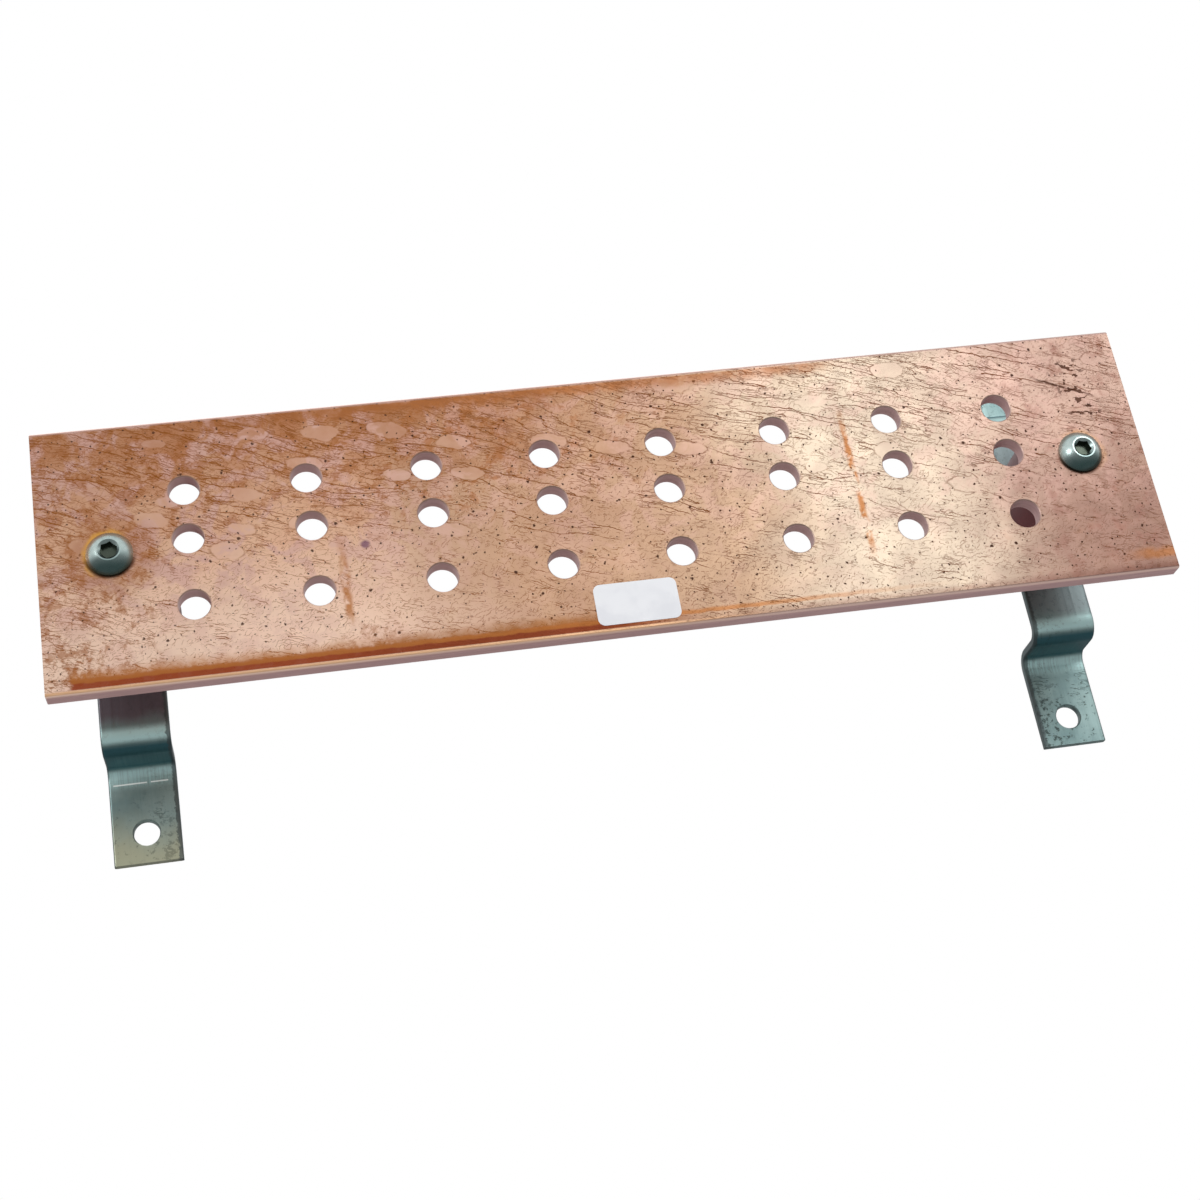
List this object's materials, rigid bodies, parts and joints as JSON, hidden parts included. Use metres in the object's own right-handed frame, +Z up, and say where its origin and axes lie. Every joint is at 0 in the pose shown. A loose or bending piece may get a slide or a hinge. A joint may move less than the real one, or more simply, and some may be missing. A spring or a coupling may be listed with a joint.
{
  "type": "rack grounding busbar",
  "caption": "Flat drilled copper grounding bar held off a wall by red standoff insulators on hat-shaped steel brackets, with rows of holes for bolted cable lugs.",
  "frame": {"origin": "on the wall plane, at the centre of the four wall holes, behind the middle of the bar", "axes": "+X along the bar to the right as seen from the front, +Y back into the wall, +Z up; the bar faces -Y"},
  "size_m": [0.4064, 0.0859, 0.175],
  "materials": {
    "copper": "bare drawn copper with tarnish streaks",
    "label_stock": "white printed film, left blank",
    "screw_steel": "smooth bright stainless steel",
    "insulator_resin": "moulded dark red polyester",
    "insert_brass": "turned brass",
    "bracket_steel": "rolled stainless strip with handling marks",
    "bolt_steel": "stainless steel",
    "washer_steel": "stainless spring steel"
  },
  "bodies": {
    "root": {"busbar": "copper", "label": "label_stock", "left_bar_screw": "screw_steel", "right_bar_screw": "screw_steel", "left_insulator": "insulator_resin", "right_insulator": "insulator_resin", "left_front_insert": "insert_brass", "right_front_insert": "insert_brass", "left_rear_insert": "insert_brass", "right_rear_insert": "insert_brass", "left_bracket": "bracket_steel", "right_bracket": "bracket_steel", "left_bracket_bolt": "bolt_steel", "right_bracket_bolt": "bolt_steel", "left_lock_washer": "washer_steel", "right_lock_washer": "washer_steel"}
  },
  "joints": []
}
